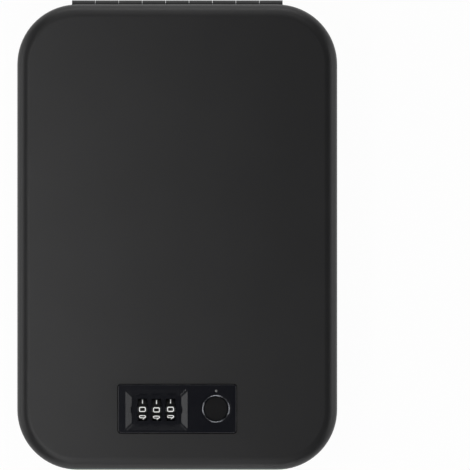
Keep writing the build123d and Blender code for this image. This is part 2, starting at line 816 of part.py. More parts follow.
with BuildPart() as lid_standoffs:
    with BuildSketch(Plane.XY.offset(housing_bottom)):
        with Locations((0, housing_y)):
            with GridLocations(*standoff_grid, 2, 2):
                Circle(standoff_radius)
    extrude(amount=housing_height)
    with BuildSketch(Plane.XY.offset(housing_bottom)):
        with Locations((0, housing_y)):
            with GridLocations(*standoff_grid, 2, 2):
                Circle(screw_tap_radius)
    extrude(amount=screw_tap_depth, mode=Mode.SUBTRACT)
lid_standoffs.part.label = "lid_standoffs"
export_step(lid_standoffs.part, "parts/lid_standoffs.step")

# Cover plate, with countersunk screws and the riveted guide pins of the bolt
with BuildPart() as lock_cover:
    with BuildSketch(Plane.XY.offset(cover_bottom)):
        with Locations((0, housing_y)):
            RectangleRounded(housing_length, housing_width, housing_corner)
        with Locations(*guide_places):
            Circle(guide_spigot_radius, mode=Mode.SUBTRACT)
    extrude(amount=cover_thickness)
    with Locations(Plane((0, housing_y, cover_bottom), z_dir=(0, 0, -1))):
        with GridLocations(*standoff_grid, 2, 2):
            CounterSinkHole(
                screw_tap_radius,
                screw_head_radius + screw_head_fit,
                depth=cover_thickness,
                counter_sink_angle=screw_head_angle,
            )
lock_cover.part.label = "lock_cover"
export_step(lock_cover.part, "parts/lock_cover.step")

with BuildPart() as cover_screws:
    screw_points = (
        (0, cover_bottom),
        (screw_head_radius, cover_bottom),
        (screw_radius, cover_bottom + screw_head_radius - screw_radius),
        (screw_radius, housing_bottom + screw_reach),
        (0, housing_bottom + screw_reach),
    )
    for screw_x in (-standoff_grid[0] / 2, standoff_grid[0] / 2):
        for screw_y in (housing_y - standoff_grid[1] / 2, housing_y + standoff_grid[1] / 2):
            revolve(section(screw_points, screw_x, screw_y), axis=upright(screw_x, screw_y))
    with BuildSketch(Plane.XY.offset(cover_bottom)):
        with Locations((0, housing_y)):
            with GridLocations(*standoff_grid, 2, 2):
                Rectangle(2 * screw_radius, screw_slot_width)
                Rectangle(screw_slot_width, 2 * screw_radius)
    extrude(amount=screw_slot_depth, mode=Mode.SUBTRACT)
cover_screws.part.label = "cover_screws"
export_step(cover_screws.part, "parts/cover_screws.step")

with BuildPart() as guide_pins:
    pin_head_z = bolt_top + bolt_lift
    pin_points = (
        (0, cover_bottom),
        (guide_spigot_radius, cover_bottom),
        (guide_spigot_radius, housing_bottom),
        (guide_radius, housing_bottom),
        (guide_radius, pin_head_z),
        (guide_head_radius, pin_head_z),
        (guide_head_radius, pin_head_z + guide_head_height),
        (0, pin_head_z + guide_head_height),
    )
    for guide_x, guide_y in guide_places:
        revolve(section(pin_points, guide_x, guide_y), axis=upright(guide_x, guide_y))
guide_pins.part.label = "guide_pins"
export_step(guide_pins.part, "parts/guide_pins.step")


def involute(base_radius, radius):
    """Return the angle by which an involute has turned where it reaches a radius."""
    roll = sqrt((radius / base_radius) ** 2 - 1)
    return roll - atan(roll)


def pinion_tooth():
    """Return the face of one tooth with involute flanks, pointing up the Y axis of the sketch."""
    base_radius = pinion_radius * cos(radians(pressure_angle))
    tip_radius = pinion_radius + gear_module
    foot_radius = pinion_radius - dedendum_factor * gear_module
    half_tooth = pi / (2 * pinion_teeth) - gear_backlash / (2 * pinion_radius)
    half_tooth += involute(base_radius, pinion_radius)
    flank = []
    for i in range(flank_steps + 1):
        radius = base_radius + (tip_radius - base_radius) * i / flank_steps
        turn = half_tooth - involute(base_radius, radius)
        flank.append((radius * sin(turn), radius * cos(turn)))
    foot = (foot_radius * sin(half_tooth), foot_radius * cos(half_tooth))
    with BuildSketch() as tooth:
        with BuildLine():
            right = Spline(*flank)
            left = Spline(*[(-x, y) for x, y in flank])
            Polyline(right @ 1, left @ 1)
            Polyline(right @ 0, foot, (-foot[0], foot[1]), left @ 0)
        make_face()
    return tooth.sketch


# Pinion on the motor's shaft, one tooth straight down into the rack
with BuildPart() as motor_pinion:
    with BuildSketch(Plane.YZ.offset(pinion_x - pinion_width / 2)):
        with Locations((pinion_y, motor_z)):
            Circle(pinion_radius - dedendum_factor * gear_module + gear_backlash)
            with PolarLocations(0, pinion_teeth, start_angle=180):
                add(pinion_tooth())
            Circle(shaft_radius, mode=Mode.SUBTRACT)
    extrude(amount=pinion_width)
motor_pinion.part.label = "motor_pinion"
export_step(motor_pinion.part, "parts/motor_pinion.step")

with BuildPart() as motor_shaft:
    with BuildSketch(Plane.YZ.offset(pinion_x - pinion_width / 2)):
        with Locations((pinion_y, motor_z)):
            Circle(shaft_radius)
    extrude(amount=pinion_width + motor_gap + shaft_sunk)
motor_shaft.part.label = "motor_shaft"
export_step(motor_shaft.part, "parts/motor_shaft.step")

# Gear motor: a square gearbox with a shaft boss, and a can with two flats
with BuildPart() as gear_motor:
    with BuildSketch(Plane.YZ.offset(motor_left)):
        with Locations((pinion_y, motor_z)):
            RectangleRounded(motor_width, motor_height, motor_box_corner)
    extrude(amount=motor_box_length)
    with BuildSketch(Plane.YZ.offset(motor_left + motor_box_length)):
        with Locations((pinion_y, motor_z)):
            Circle(motor_width / 2)
            Rectangle(motor_width, motor_height, mode=Mode.INTERSECT)
    extrude(amount=motor_can_length)
    with BuildSketch(Plane.YZ.offset(motor_left - motor_boss_height)):
        with Locations((pinion_y, motor_z)):
            Circle(motor_boss_radius)
    extrude(amount=motor_boss_height)
    with BuildSketch(Plane.YZ.offset(motor_left - motor_boss_height)):
        with Locations((pinion_y, motor_z)):
            Circle(shaft_radius + shaft_fit)
    extrude(amount=motor_boss_height + shaft_sunk, mode=Mode.SUBTRACT)
gear_motor.part.label = "gear_motor"
export_step(gear_motor.part, "parts/gear_motor.step")


def rack_outline():
    """Return the side of the rack: straight-flanked teeth, with a space under the pinion."""
    pitch = pi * gear_module
    slant = tan(radians(pressure_angle))
    tip_z = rack_pitch_z + gear_module
    root_z = rack_pitch_z - dedendum_factor * gear_module
    half_tip = pitch / 4 - gear_backlash / 2 - gear_module * slant
    half_root = pitch / 4 - gear_backlash / 2 + dedendum_factor * gear_module * slant
    first = -int((pinion_y - rack_front_y) / pitch - 1)
    last = int((rack_back_y - pinion_y) / pitch - 1)
    points = [(rack_front_y, bolt_top), (rack_front_y, root_z)]
    for i in range(first, last + 1):
        middle = pinion_y + (i + 0.5) * pitch
        points.append((middle - half_root, root_z))
        points.append((middle - half_tip, tip_z))
        points.append((middle + half_tip, tip_z))
        points.append((middle + half_root, root_z))
    points.append((rack_back_y, root_z))
    points.append((rack_back_y, bolt_top))
    return points


# Bolt: a flat slide with a bevelled tongue, guide slots and a rack on its back
with BuildPart() as latch_bolt:
    half_tongue = bolt_tongue_width / 2
    with BuildSketch(Plane.XY.offset(bolt_bottom)):
        span(-half_tongue, half_tongue, bolt_tip_y, bolt_step_y)
        span(bolt_body_left, bolt_body_right, bolt_body_front, bolt_step_y)
        span(bolt_tail_left, pinion_x + bolt_tail_side, bolt_step_y, bolt_tail_y)
        with Locations(*[(x, y + bolt_throw / 2) for x, y in guide_places]):
            SlotCenterToCenter(bolt_throw, 2 * (guide_radius + guide_fit), rotation=90, mode=Mode.SUBTRACT)
        with Locations((arm_pin_x - spindle_travel / 2, dial_y + bolt_throw / 2)):
            SlotCenterToCenter(
                sqrt(spindle_travel**2 + bolt_throw**2),
                2 * (arm_pin_radius + arm_pin_fit),
                rotation=degrees(atan2(bolt_throw, -spindle_travel)),
                mode=Mode.SUBTRACT,
            )
    extrude(amount=bolt_thickness)
    chamfer(latch_bolt.edges().filter_by(Axis.X).group_by(Axis.Y)[0], bolt_tip_bevel)
    with BuildSketch(Plane.YZ.offset(pinion_x - rack_width / 2)):
        with BuildLine():
            Polyline(*rack_outline(), close=True)
        make_face()
    extrude(amount=rack_width)
latch_bolt.part.label = "latch_bolt"
export_step(latch_bolt.part, "parts/latch_bolt.step")

# Circuit board with its switch under the button's stem, a chip, a plug and the lamp
with BuildPart() as circuit_board:
    with BuildSketch(Plane.XY.offset(board_top - board_thickness)):
        with Locations((board_x, board_y)):
            RectangleRounded(board_length, board_width, board_corner)
    extrude(amount=board_thickness)
    with BuildSketch(Plane.XY.offset(board_top)):
        with Locations((button_x, panel_y)):
            Rectangle(switch_size, switch_size)
    extrude(amount=switch_height / 2)
    with BuildSketch(Plane.XY.offset(board_top)):
        with Locations((button_x, panel_y)):
            Circle(switch_cap_radius)
    extrude(amount=switch_height)
    with BuildSketch(Plane.XY.offset(board_top)):
        with Locations((button_x + light_offset[0], panel_y + light_offset[1])):
            Rectangle(2 * light_radius, 2 * light_radius)
    extrude(amount=lamp_height)
    for size, place in ((chip_size, chip_place), (plug_size, plug_place)):
        with BuildSketch(Plane.XY.offset(board_top - board_thickness)):
            with Locations((board_x + place[0], board_y + place[1])):
                Rectangle(size[0], size[1])
        extrude(amount=-size[2])
circuit_board.part.label = "circuit_board"
export_step(circuit_board.part, "parts/circuit_board.step")

with BuildPart() as battery:
    with BuildSketch(Plane.XY.offset(housing_roof - battery_height)):
        with Locations((battery_x, battery_y)):
            RectangleRounded(battery_length, battery_width, battery_corner)
    extrude(amount=battery_height)
    chamfer(battery.edges().filter_by(Plane.XY), battery_bevel)
battery.part.label = "battery"
export_step(battery.part, "parts/battery.step")

# Return spring, from the board to the inside of the button's cap, its round wire drawn with four sides
with BuildPart() as button_spring:
    coil_bottom = board_top + spring_wire_radius
    coil_height = ceiling - board_top - 2 * spring_wire_radius
    with BuildLine():
        Helix(
            pitch=coil_height / spring_turns,
            height=coil_height,
            radius=spring_coil_radius,
            center=(button_x, panel_y, coil_bottom),
        )
    with BuildSketch(Plane(
        (button_x + spring_coil_radius, panel_y, coil_bottom), x_dir=(1, 0, 0), z_dir=(0, 1, 0)
    )):
        RegularPolygon(spring_wire_radius, spring_wire_sides)
    sweep(is_frenet=True)
button_spring.part.label = "button_spring"
export_step(button_spring.part, "parts/button_spring.step")
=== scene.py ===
"""Travel safe: the finishes, the wheels' digits, the foam linings, the button's spring, the studio
and the camera.

Every length is in metres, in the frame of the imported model: the origin is the centre of the flat
underside, +Y points to the hinge and +Z up through the lid.
"""

import bmesh
import bpy
import numpy as np
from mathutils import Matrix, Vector


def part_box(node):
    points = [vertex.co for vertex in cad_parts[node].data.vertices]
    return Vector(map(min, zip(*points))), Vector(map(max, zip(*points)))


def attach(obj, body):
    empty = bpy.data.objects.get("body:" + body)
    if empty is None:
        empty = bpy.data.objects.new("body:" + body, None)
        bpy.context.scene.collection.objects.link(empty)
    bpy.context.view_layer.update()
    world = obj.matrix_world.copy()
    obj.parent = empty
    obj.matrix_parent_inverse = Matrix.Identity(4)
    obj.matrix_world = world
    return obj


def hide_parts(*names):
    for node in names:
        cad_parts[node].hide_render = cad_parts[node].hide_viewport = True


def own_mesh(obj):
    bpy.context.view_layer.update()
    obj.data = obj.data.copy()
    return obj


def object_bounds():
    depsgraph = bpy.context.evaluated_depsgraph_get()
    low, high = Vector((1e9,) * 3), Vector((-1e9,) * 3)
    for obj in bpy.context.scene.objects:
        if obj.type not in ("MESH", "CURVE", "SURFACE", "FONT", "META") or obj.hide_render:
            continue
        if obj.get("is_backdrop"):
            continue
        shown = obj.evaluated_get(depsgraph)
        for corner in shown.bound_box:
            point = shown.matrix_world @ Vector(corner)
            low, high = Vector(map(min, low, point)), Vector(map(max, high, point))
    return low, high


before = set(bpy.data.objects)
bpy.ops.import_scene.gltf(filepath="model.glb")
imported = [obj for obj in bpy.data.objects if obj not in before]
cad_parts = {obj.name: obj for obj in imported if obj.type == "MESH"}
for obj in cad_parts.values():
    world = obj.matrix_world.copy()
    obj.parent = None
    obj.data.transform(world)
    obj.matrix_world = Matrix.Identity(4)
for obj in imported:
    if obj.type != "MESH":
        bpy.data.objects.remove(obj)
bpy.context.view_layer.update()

MM = 0.001
# Points closer together than this are one point
TINY = 0.001 * MM

# Number wheels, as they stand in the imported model
WHEEL_RADIUS = 7.0 * MM
WHEEL_STEP = np.radians(36.0)
# They don't stop quite in line: all three are turned a little to the hinge, the middle one least
DIGIT_TURN = {1: np.radians(2.4), 2: np.radians(0.2), 3: np.radians(2.9)}

# Digits: half their width and height, their rounded corners and their strokes
DIGIT_HALF_WIDTH = 1.52 * MM
DIGIT_HALF_HEIGHT = 1.07 * MM
DIGIT_CORNER = 0.62 * MM
DIGIT_STROKE = 0.5 * MM
DIGIT_STEP = 0.15 * MM
DIGIT_SUNK = 0.03 * MM
DIGIT_PROUD = 0.03 * MM
BEND_POINTS = 9

# Crevices of the case, painted with shade: the moat round the lock panel and the parting line of lid
# and tray. The painted shade starts a little below the lid's face, and its zone ends as far past the
# moat's walls and floor
SEAT_GAP = 0.4 * MM
SEAT_DEPTH = 0.4 * MM
PARTING_HALF = 0.2 * MM
SHADE_PAST = 0.04 * MM

# Foam linings: their gap to the case, their corners, and the rounding and swell of their faces
FOAM_GAP = 0.3 * MM
FOAM_CORNER = 27.3 * MM
FOAM_EDGE = 2.4 * MM
FOAM_SWELL = 0.25 * MM
SWELL_RUN = 12.0 * MM
LOCK_CUT_HALF = 37.5 * MM
LOCK_CUT_BACK = -49.5 * MM

# Grids of the linings
EASE_POWER = 2.2
TRAY_FOAM_GRID = (121, 161)
LID_FOAM_ROWS = 120
LID_FOAM_COLUMNS = 41
CORNER_POINTS = 17
FRONT_END_ROWS = 5

# Button spring: a round wire, its turns, and the rings and sides of its skin
WIRE_RADIUS = 0.2 * MM
COIL_TURNS = 3.5
RINGS_PER_TURN = 24
END_RINGS = 3
WIRE_SIDES = 10

# Camera: straight above, its frame as wide as the photograph's
FRAME_WIDTH = 242.2 * MM
FRAME_CENTRE = (29.8 * MM, 1.06 * MM)
CAMERA_HEIGHT = 8.0
CAMERA_REACH = 30.0
SENSOR_MM = 36.0

# A noise mostly lies between these two values
NOISE_LOW = 0.35
NOISE_HIGH = 0.65

# Floor: half its side, its level just under the case, and the share of its light that is its own
# where the camera or a mirror sees it
FLOOR_HALF = 3.0
FLOOR_LEVEL = -0.2 * MM
FLOOR_GLOW = 0.97

# Where most lamps aim, and the faint light of the room
CASE_MIDDLE = (0.0, 0.0, 0.03)
ROOM_LIGHT = 0.05


def linear(code):
    """Turn an sRGB hex code such as #1A1B1C into the linear colour that a shader takes."""
    srgb = np.array([int(code[i : i + 2], 16) for i in (1, 3, 5)]) / 255
    values = np.where(srgb <= 0.04045, srgb / 12.92, ((srgb + 0.055) / 1.055) ** 2.4)
    return (*values.tolist(), 1.0)


def add_node(tree, kind, inputs=(), **settings):
    """Add one shader node with its settings; an input is given a value or linked to a socket."""
    made = tree.nodes.new(kind)
    for name, value in settings.items():
        setattr(made, name, value)
    for key, value in dict(inputs).items():
        if isinstance(value, bpy.types.NodeSocket):
            tree.links.new(value, made.inputs[key])
        else:
            made.inputs[key].default_value = value
    return made


def new_material(name, **values):
    """Start a material; return it, its node tree, its shader and the object's own coordinates."""
    made = bpy.data.materials.new(name)
    made.use_nodes = True
    tree = made.node_tree
    shader = tree.nodes["Principled BSDF"]
    for key, value in values.items():
        shader.inputs[key.replace("_", " ")].default_value = value
    place = add_node(tree, "ShaderNodeTexCoord").outputs["Object"]
    return made, tree, shader, place


def grain(tree, place, size, detail=2.0, stretch=(1.0, 1.0, 1.0)):
    """Return a noise whose blobs are about one size across, stretched along each axis in turn."""
    scaled = add_node(tree, "ShaderNodeMapping", {"Vector": place, "Scale": [1 / s for s in stretch]})
    return add_node(
        tree, "ShaderNodeTexNoise", {"Vector": scaled.outputs[0], "Scale": 1 / size, "Detail": detail}
    ).outputs["Fac"]


def tint(tree, shader, factor, dark, light):
    """Let the base colour wander between two hex colours, and return it."""
    ramp = add_node(tree, "ShaderNodeValToRGB", {"Fac": factor})
    for stop, position, code in zip(ramp.color_ramp.elements, (NOISE_LOW, NOISE_HIGH), (dark, light)):
        stop.position = position
        stop.color = linear(code)
    tree.links.new(ramp.outputs["Color"], shader.inputs["Base Color"])
    return ramp.outputs["Color"]


def vary_roughness(tree, shader, factor, smooth, rough):
    """Let the roughness wander between two values."""
    limits = {"From Min": NOISE_LOW, "From Max": NOISE_HIGH, "To Min": smooth, "To Max": rough}
    span = add_node(tree, "ShaderNodeMapRange", {"Value": factor, **limits})
    tree.links.new(span.outputs["Result"], shader.inputs["Roughness"])


def raise_bumps(tree, shader, height, depth):
    """Drive the surface's bump by a height from 0 to 1, with its real depth."""
    bump = add_node(tree, "ShaderNodeBump", {"Height": height, "Strength": 1.0, "Distance": depth})
    tree.links.new(bump.outputs["Normal"], shader.inputs["Normal"])


def in_crevice(tree, place):
    """Return 1 where shade is painted, in the moat round the lock panel and along the parting line, else
    0.

    A point is in the moat where, along every axis, it lies within reach of the moat's middle.
    """
    low, high = np.array(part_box("lock_bezel"))
    lid_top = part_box("lid_shell")[1][2]
    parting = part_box("base_shell")[1][2]
    middle = [*(low + high)[:2] / 2, lid_top - SHADE_PAST - SEAT_DEPTH / 2]
    reach = [*(high - low)[:2] / 2 + SEAT_GAP + SHADE_PAST, SEAT_DEPTH / 2]
    axes = add_node(tree, "ShaderNodeSeparateXYZ", {"Vector": place}).outputs
    moat = 1.0
    for axis in range(3):
        near = add_node(
            tree, "ShaderNodeMath", {0: axes[axis], 1: middle[axis], 2: reach[axis]}, operation="COMPARE"
        )
        both = add_node(tree, "ShaderNodeMath", {0: moat, 1: near.outputs[0]}, operation="MULTIPLY")
        moat = both.outputs[0]
    line = add_node(
        tree, "ShaderNodeMath", {0: axes["Z"], 1: parting, 2: PARTING_HALF}, operation="COMPARE"
    )
    either = add_node(tree, "ShaderNodeMath", {0: moat, 1: line.outputs[0]}, operation="MAXIMUM")
    return either.outputs[0]


def powder_coated_steel(name, crevices):
    """Sheet steel, powder coated black and baked: a fine orange peel with a soft sheen."""
    made, tree, shader, place = new_material(name, IOR=1.42)
    # The coat wanders over some 40 mm; its peel is about 0.3 mm, drawn at 0.6 mm so that it shows
    black = tint(tree, shader, grain(tree, place, 40 * MM, 3.0), "#181819", "#1B1B1C")
    peel = grain(tree, place, 0.6 * MM)
    vary_roughness(tree, shader, peel, 0.40, 0.48)
    raise_bumps(tree, shader, peel, 0.02 * MM)
    if crevices:
        # Shade is painted into the moat and on to the edges where lid and tray meet: near black, and
        # without the coat's sheen, whose usual level is 0.5
        painted_shade = in_crevice(tree, place)
        shaded_colour = add_node(
            tree, "ShaderNodeMix", {"Factor": painted_shade, "A": black, "B": linear("#040404")}, data_type="RGBA"
        )
        sheen = add_node(tree, "ShaderNodeMapRange", {"Value": painted_shade, "To Min": 0.5, "To Max": 0.0})
        tree.links.new(shaded_colour.outputs["Result"], shader.inputs["Base Color"])
        tree.links.new(sheen.outputs["Result"], shader.inputs["Specular IOR Level"])
    return made


def moulded_plastic(name, dark, light, texture, rough, index):
    """Injection-moulded plastic: even in colour, with the very fine stipple that its mould leaves."""
    made, tree, shader, place = new_material(name, IOR=index)
    tint(tree, shader, grain(tree, place, 12 * MM), dark, light)
    # A mould's stipple is about 0.1 mm across; it is drawn coarser so that it shows
    stipple = grain(tree, place, texture)
    vary_roughness(tree, shader, stipple, rough - 0.03, rough + 0.05)
    raise_bumps(tree, shader, stipple, 0.006 * MM)
    return made


def grey_metal(name, dark, light, rough, draw=(1.0, 1.0, 1.0)):
    """Plated, rolled or cast metal: a grey with a faint patchy bloom, and fine marks along its draw."""
    made, tree, shader, place = new_material(name, Metallic=1.0)
    tint(tree, shader, grain(tree, place, 3 * MM, 4.0), dark, light)
    # The marks are less than 0.1 mm wide; they are drawn at 0.25 mm so that they show
    marks = grain(tree, place, 0.25 * MM, 2.0, draw)
    vary_roughness(tree, shader, marks, rough - 0.07, rough + 0.07)
    raise_bumps(tree, shader, marks, 0.004 * MM)
    return made


def black_nickel():
    """Turned ring plated in black nickel: a smoky mirror, faintly clouded by wiping."""
    made, tree, shader, place = new_material("black_nickel", Metallic=1.0)
    tint(tree, shader, grain(tree, place, 2 * MM), "#83858A", "#909297")
    vary_roughness(tree, shader, grain(tree, place, 0.2 * MM), 0.2, 0.28)
    return made


def coated_sensor_face():
    """Hard-coated sensor face, moulded flat: dark and even, with a soft gloss."""
    made, tree, shader, place = new_material("coated_sensor_face", IOR=1.42)
    tint(tree, shader, grain(tree, place, 4 * MM), "#121213", "#151516")
    vary_roughness(tree, shader, grain(tree, place, 0.5 * MM), 0.20, 0.26)
    return made


def milky_light_pipe():
    """Moulded polycarbonate light pipe, unlit: an even mid grey, like frosted glass."""
    made, tree, shader, place = new_material("milky_light_pipe", IOR=1.585, Roughness=0.25)
    tint(tree, shader, grain(tree, place, 0.6 * MM), "#767676", "#828282")
    return made


def printed_enamel():
    """White enamel pad-printed on the wheels: matt, and slightly uneven."""
    made, tree, shader, place = new_material("printed_enamel", IOR=1.5)
    speckle = grain(tree, place, 0.2 * MM)
    tint(tree, shader, speckle, "#F8F8F5", "#FFFFFD")
    vary_roughness(tree, shader, speckle, 0.45, 0.60)
    return made


def open_cell_foam():
    """Cut sheet of open-cell polyurethane foam: matt black, full of small pits."""
    made, tree, shader, place = new_material("open_cell_foam", Roughness=0.95, IOR=1.4)
    # The cells are about 0.5 mm across; they are drawn at 1 mm so that they show
    cells = add_node(tree, "ShaderNodeTexVoronoi", {"Vector": place, "Scale": 1 / (1.0 * MM)})
    tint(tree, shader, cells.outputs["Distance"], "#1A1A1B", "#2B2B2D")
    raise_bumps(tree, shader, cells.outputs["Distance"], 0.25 * MM)
    return made


def solder_mask():
    """Glass-fibre board under green solder mask: glossy, with the 0.5 mm weave just showing."""
    made, tree, shader, place = new_material("solder_mask", IOR=1.5)
    weave = add_node(tree, "ShaderNodeTexChecker", {"Vector": place, "Scale": 1 / (0.5 * MM)})
    tint(tree, shader, weave.outputs["Fac"], "#0F4A26", "#12532B")
    vary_roughness(tree, shader, weave.outputs["Fac"], 0.25, 0.32)
    return made


def shrink_wrap():
    """Blue PVC sleeve shrunk round the cell: glossy, with slack ripples."""
    made, tree, shader, place = new_material("shrink_wrap", IOR=1.53)
    ripple = grain(tree, place, 3 * MM, 1.0, (3.0, 1.0, 1.0))
    tint(tree, shader, ripple, "#1D3F7A", "#234A8C")
    vary_roughness(tree, shader, ripple, 0.18, 0.28)
    raise_bumps(tree, shader, ripple, 0.1 * MM)
    return made


def cut_brass():
    """Hobbed brass, lightly oiled: warm, with cutting marks across the teeth."""
    made, tree, shader, place = new_material("cut_brass", Metallic=1.0)
    marks = grain(tree, place, 0.15 * MM, 2.0, (1.0, 6.0, 6.0))
    tint(tree, shader, grain(tree, place, 2 * MM), "#B8924A", "#C8A25A")
    vary_roughness(tree, shader, marks, 0.25, 0.38)
    raise_bumps(tree, shader, marks, 0.004 * MM)
    return made


# The shells' coat has shade painted into their crevices; the hinge and the inner rim have no crevices
shell_coat = powder_coated_steel("powder_coated_steel", crevices=True)
hinge_coat = powder_coated_steel("powder_coated_hinge", crevices=False)
# ABS of the lock panel and the button, from a nearly polished mould: blue-black and glossy
panel_abs = moulded_plastic("panel_abs", "#101117", "#131419", 0.4 * MM, 0.15, 1.45)
# ABS of the wheels, from a textured mould: its stipple swallows the sheen, so the IOR is set low
wheel_abs = moulded_plastic("wheel_abs", "#030303", "#050506", 0.3 * MM, 0.55, 1.22)
# Nylon of the bush and the lock's housing: dark grey, with a dull sheen
black_nylon = moulded_plastic("black_nylon", "#1A1A1C", "#1F1F21", 0.5 * MM, 0.45, 1.45)

# Marks drawn out along X, six times as long as they are wide
ALONG_X = (6.0, 1.0, 1.0)

# Zinc plate on pressed and turned steel: a bright cool grey
plated = grey_metal("zinc_plated_steel", "#A9ADB0", "#BCC0C4", 0.34)
# The same on drawn and rolled bar, a little darker and smoother
plated_bar = grey_metal("zinc_plated_bar", "#A6AAAE", "#B8BCC0", 0.30, ALONG_X)
# Hardened spring steel, left bright: darker and smoother than the plate
spring_steel = grey_metal("bright_spring_steel", "#9A9C9E", "#AEB0B2", 0.24, ALONG_X)
# Nickel plate on the motor's drawn can: a warm grey, the glossiest of them
motor_nickel = grey_metal("nickel_plated_can", "#B4B0A8", "#C4C0B8", 0.22, ALONG_X)
# Die-cast zinc, tumbled smooth: a dull even grey
zinc_casting = grey_metal("tumbled_zinc_casting", "#8E9194", "#A2A5A8", 0.42)

enamel = printed_enamel()
foam = open_cell_foam()

# What each CAD piece is made of, apart from the linings and the spring, which are made anew below
FINISHES = {
    shell_coat: ("base_shell", "lid_shell"),
    hinge_coat: ("base_rim", "hinge_leaf_base", "hinge_leaf_lid"),
    panel_abs: ("lock_bezel", "release_button"),
    wheel_abs: ("number_wheel_1", "number_wheel_2", "number_wheel_3"),
    black_nylon: ("cable_bush", "lock_case"),
    plated: ("strike_bracket", "lock_cover", "lid_standoffs", "cover_screws", "guide_pins"),
    plated_bar: ("latch_bolt", "code_spindle", "hinge_pin", "motor_shaft"),
    spring_steel: ("detent_spring",),
    motor_nickel: ("gear_motor",),
    zinc_casting: ("gate_ring_1", "gate_ring_2", "gate_ring_3"),
    black_nickel(): ("button_ring",),
    coated_sensor_face(): ("finger_sensor",),
    milky_light_pipe(): ("led_lens",),
    solder_mask(): ("circuit_board",),
    shrink_wrap(): ("battery",),
    cut_brass(): ("motor_pinion",),
}
for finish, names in FINISHES.items():
    for name in names:
        cad_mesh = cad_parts[name].data
        cad_mesh.materials.clear()
        cad_mesh.materials.append(finish)


def grid_surface(points, wrap_u=False, wrap_v=False, caps=False):
    """Return the points and the four-cornered faces of a grid (rows u, columns v).

    It is closed along u or v where they wrap; a grid of four columns can be capped at both ends of u.
    """
    rows, columns = points.shape[:2]
    corner = np.arange(rows * columns).reshape(rows, columns)
    last_row = rows if wrap_u else rows - 1
    last_column = columns if wrap_v else columns - 1
    # A face runs from its own point to the next along u, the next along both and the next along v
    steps = ((0, 0), (-1, 0), (-1, -1), (0, -1))
    corners = [np.roll(corner, step, axis=(0, 1))[:last_row, :last_column] for step in steps]
    faces = np.stack(corners, axis=-1).reshape(-1, 4)
    if caps:
        faces = np.concatenate([faces, corner[:1], corner[-1:, ::-1]])
    return points.reshape(-1, 3), faces


def make_mesh(name, surfaces):
    """Make one mesh of several surfaces, each given as its points and its faces."""
    starts = np.cumsum([0] + [len(points) for points, faces in surfaces])
    points = np.concatenate([points for points, faces in surfaces])
    faces = np.concatenate([faces + start for (points, faces), start in zip(surfaces, starts)])
    mesh = bpy.data.meshes.new(name)
    mesh.from_pydata(points.tolist(), [], faces.tolist())
    mesh.update()
    return mesh


def weld(mesh):
    """Merge the points that lie on each other and turn every face outwards."""
    work = bmesh.new()
    work.from_mesh(mesh)
    bmesh.ops.remove_doubles(work, verts=work.verts, dist=TINY)
    bmesh.ops.recalc_face_normals(work, faces=work.faces)
    work.to_mesh(mesh)
    work.free()


def place_piece(name, mesh, finish, body, smooth=True):
    """Put a finished mesh into the scene on its body, with its material."""
    piece = bpy.data.objects.new(name, mesh)
    bpy.context.scene.collection.objects.link(piece)
    mesh.materials.append(finish)
    mesh.polygons.foreach_set("use_smooth", np.full(len(mesh.polygons), smooth))
    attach(piece, body)
    return piece


def length_run(line):
    """The length along a line from its first point to each of its points."""
    return np.concatenate([[0], np.cumsum(np.linalg.norm(np.diff(line, axis=0), axis=1))])


def points_at(stops, reach, line):
    """The points of a line at given stops, where its own points stand at the given reach."""
    return np.stack([np.interp(stops, reach, line[:, 0]), np.interp(stops, reach, line[:, 1])], axis=1)


# Each digit's strokes, in a box from about -1 to 1 both ways; a closed one returns to its first point
LOOP = ((-1, -1), (-1, 1), (1, 1), (1, -1))
DIGITS = {
    0: [(LOOP, True)],
    1: [(((0, 1.2), (0, -1.2)), False)],
    2: [(((-1, 1), (1, 1), (1, 0), (-1, 0), (-1, -1), (1, -1)), False)],
    3: [(((-1, 1), (1, 1), (1, -1), (-1, -1)), False), (((-0.5, 0), (1, 0)), False)],
    4: [(((-1, 1), (-1, 0), (1, 0)), False), (((0.5, 1.2), (0.5, -1.2)), False)],
    5: [(((1, 1), (-1, 1), (-1, 0), (1, 0), (1, -1), (-1, -1)), False)],
    6: [
        (((-1, -0.2), (-1, 0.15), (1, 0.15), (1, -1), (-1, -1)), True),
        (((-1, -0.4), (-0.1, 1.2)), False),
    ],
    7: [(((-1, 1), (1, 1), (0, -1.2)), False)],
    8: [(LOOP, True), (((-1, 0), (1, 0)), False)],
    9: [
        (((1, 0.2), (1, -0.15), (-1, -0.15), (-1, 1), (1, 1)), True),
        (((1, 0.4), (0.1, -1.2)), False),
    ],
}


def rounded_line(corners, closed):
    """Points along straight runs, whose corners are rounded.

    Each bend is a parabola that touches both runs at the corner's rounding from it, or halfway along
    a run that is too short for that.
    """
    before = np.roll(corners, 1, axis=0) - corners
    after = np.roll(corners, -1, axis=0) - corners
    before_length = np.linalg.norm(before, axis=1, keepdims=True)
    after_length = np.linalg.norm(after, axis=1, keepdims=True)
    start = corners + before / before_length * np.minimum(DIGIT_CORNER, before_length / 2)
    end = corners + after / after_length * np.minimum(DIGIT_CORNER, after_length / 2)
    t = np.linspace(0, 1, BEND_POINTS)[None, :, None]
    bends = (1 - t) ** 2 * start[:, None] + 2 * t * (1 - t) * corners[:, None] + t**2 * end[:, None]
    if closed:
        return bends.reshape(-1, 2)
    return np.concatenate([corners[:1], bends[1:-1].reshape(-1, 2), corners[-1:]])


def refine(line, closed):
    """Drop doubled points and put more along each run, so that strokes follow the wheel's curve."""
    if closed:
        line = np.concatenate([line, line[:1]])
    apart = np.linalg.norm(np.diff(line, axis=0), axis=1) > TINY
    line = line[np.concatenate([[True], apart])]
    reach = length_run(line)
    stops = np.union1d(reach, np.arange(0, reach[-1], DIGIT_STEP))
    line = points_at(stops, reach, line)
    return line[:-1] if closed else line


